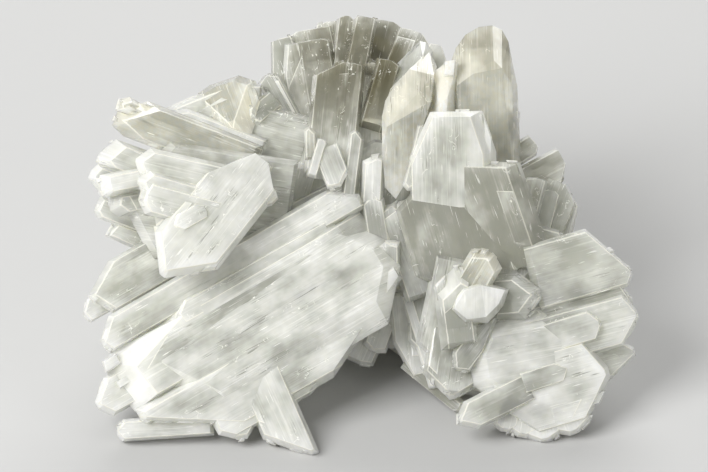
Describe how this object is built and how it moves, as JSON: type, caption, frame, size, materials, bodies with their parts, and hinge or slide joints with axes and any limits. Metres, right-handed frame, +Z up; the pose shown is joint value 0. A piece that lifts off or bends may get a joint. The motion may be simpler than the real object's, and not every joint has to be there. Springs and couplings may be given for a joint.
{
  "type": "selenite crystal cluster",
  "caption": "Natural selenite (gypsum) cluster: pale, glassy to frosted bladed crystals grown together in fans and sprays, with cream-stained tips and smoky pockets.",
  "frame": {"origin": "middle of the bounding box's footprint, on the plane that the cluster rests on", "axes": "+X to the right along the longest side, +Y to the back, +Z up; the pictured face looks toward -Y and up"},
  "size_m": [0.1386, 0.1066, 0.0725],
  "materials": {
    "selenite": "clear to milky crystal, glossy cleavage faces and frosted ends"
  },
  "bodies": {
    "root": {"selenite_cluster": "selenite"}
  },
  "joints": []
}
